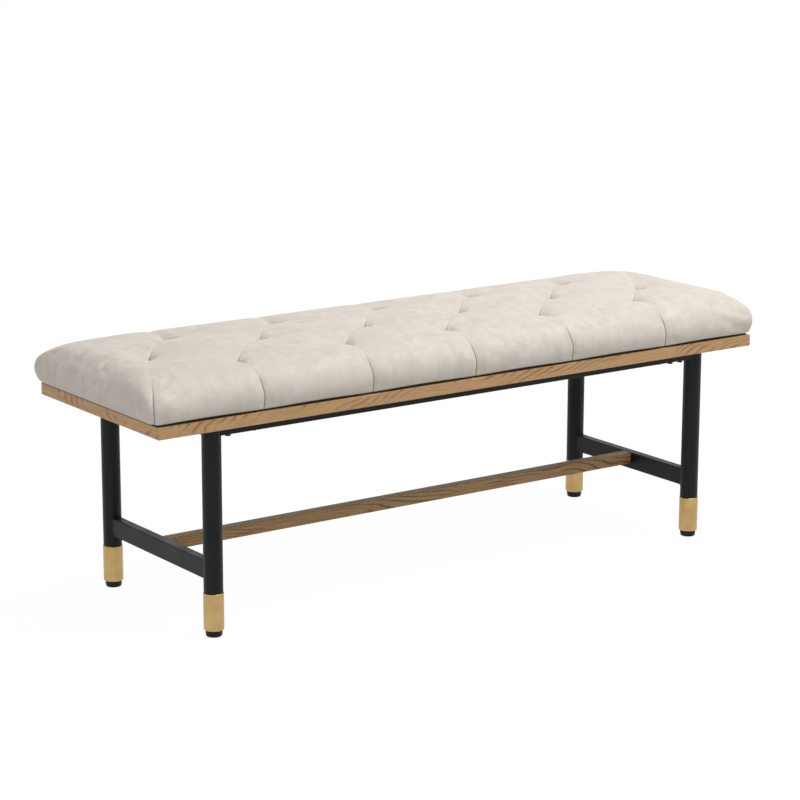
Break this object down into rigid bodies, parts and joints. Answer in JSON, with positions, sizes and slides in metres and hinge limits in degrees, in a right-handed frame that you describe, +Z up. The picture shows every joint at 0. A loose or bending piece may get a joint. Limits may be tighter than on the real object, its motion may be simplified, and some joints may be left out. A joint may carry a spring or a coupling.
{
  "type": "upholstered bench",
  "caption": "Long bench with a diamond-tufted cushion on an oak frame, round black steel legs with brass sleeves and screw-in levelling feet, and an oak stretcher near the floor.",
  "frame": {"origin": "on the floor under the middle of the seat, with the levelling feet screwed fully in", "axes": "+X along the length of the bench, +Y from its front to its back, +Z up"},
  "size_m": [1.4252, 0.451, 0.5019],
  "materials": {
    "oak": "clear matt lacquer over solid oak",
    "black_steel": "satin black powder coat",
    "brass": "satin lacquered brass",
    "foot_rubber": "matt black",
    "black_plastic": "matt black",
    "zinc_steel": "bright zinc",
    "black_screws": "black oxide",
    "plywood": "raw birch plywood",
    "cushion_leather": "soft pale beige leather with faint marbling and a fine grain",
    "foam": "open-cell foam",
    "cord": "waxed cord",
    "toggle_plastic": "plain white",
    "dust_cloth": "black non-woven cloth"
  },
  "bodies": {
    "bench": {"back_rail": "black_steel", "board_screws": "zinc_steel", "brass_sleeve_back_left": "brass", "brass_sleeve_back_right": "brass", "brass_sleeve_front_left": "brass", "brass_sleeve_front_right": "brass", "dust_cover": "dust_cloth", "foam_pad": "foam", "front_rail": "black_steel", "left_cross_rail": "black_steel", "left_end_rail": "black_steel", "left_stretcher_tenon": "black_steel", "leg_back_left": "black_steel", "leg_back_right": "black_steel", "leg_front_left": "black_steel", "leg_front_right": "black_steel", "leg_plug_back_left": "black_plastic", "leg_plug_back_right": "black_plastic", "leg_plug_front_left": "black_plastic", "leg_plug_front_right": "black_plastic", "oak_back_board": "oak", "oak_front_board": "oak", "oak_left_board": "oak", "oak_right_board": "oak", "plug_nuts": "zinc_steel", "rail_bolts": "black_screws", "rail_tongue_back_left": "black_steel", "rail_tongue_back_right": "black_steel", "rail_tongue_front_left": "black_steel", "rail_tongue_front_right": "black_steel", "right_cross_rail": "black_steel", "right_end_rail": "black_steel", "right_stretcher_tenon": "black_steel", "seat_board": "plywood", "seat_cover": "cushion_leather", "seat_screws": "black_screws", "stretcher": "oak", "stretcher_screws": "black_screws", "tuft_ties": "cord", "tuft_toggles": "toggle_plastic"},
    "foot_front_left": {"foot_pad_front_left": "foot_rubber"},
    "stud_front_left": {"foot_stud_front_left": "zinc_steel"},
    "foot_front_right": {"foot_pad_front_right": "foot_rubber"},
    "stud_front_right": {"foot_stud_front_right": "zinc_steel"},
    "foot_back_left": {"foot_pad_back_left": "foot_rubber"},
    "stud_back_left": {"foot_stud_back_left": "zinc_steel"},
    "foot_back_right": {"foot_pad_back_right": "foot_rubber"},
    "stud_back_right": {"foot_stud_back_right": "zinc_steel"}
  },
  "joints": [
    {"name": "level_front_left", "type": "slide", "parent": "bench", "child": "foot_front_left", "axis": [0, 0, -1], "range_m": [0, 0.01]},
    {"name": "screw_front_left", "type": "hinge", "parent": "foot_front_left", "child": "stud_front_left", "pos_m": [-0.5725, -0.186, 0.0074], "axis": [0, 0, -1], "range_deg": [0, 2880]},
    {"name": "level_front_right", "type": "slide", "parent": "bench", "child": "foot_front_right", "axis": [0, 0, -1], "range_m": [0, 0.01]},
    {"name": "screw_front_right", "type": "hinge", "parent": "foot_front_right", "child": "stud_front_right", "pos_m": [0.5725, -0.186, 0.0074], "axis": [0, 0, -1], "range_deg": [0, 2880]},
    {"name": "level_back_left", "type": "slide", "parent": "bench", "child": "foot_back_left", "axis": [0, 0, -1], "range_m": [0, 0.01]},
    {"name": "screw_back_left", "type": "hinge", "parent": "foot_back_left", "child": "stud_back_left", "pos_m": [-0.5725, 0.186, 0.0074], "axis": [0, 0, -1], "range_deg": [0, 2880]},
    {"name": "level_back_right", "type": "slide", "parent": "bench", "child": "foot_back_right", "axis": [0, 0, -1], "range_m": [0, 0.01]},
    {"name": "screw_back_right", "type": "hinge", "parent": "foot_back_right", "child": "stud_back_right", "pos_m": [0.5725, 0.186, 0.0074], "axis": [0, 0, -1], "range_deg": [0, 2880]}
  ],
  "couplings": [
    {"joint": "screw_front_left", "follows": "level_front_left", "rad_per_m": 5026.5},
    {"joint": "screw_front_right", "follows": "level_front_right", "rad_per_m": 5026.5},
    {"joint": "screw_back_left", "follows": "level_back_left", "rad_per_m": 5026.5},
    {"joint": "screw_back_right", "follows": "level_back_right", "rad_per_m": 5026.5}
  ]
}
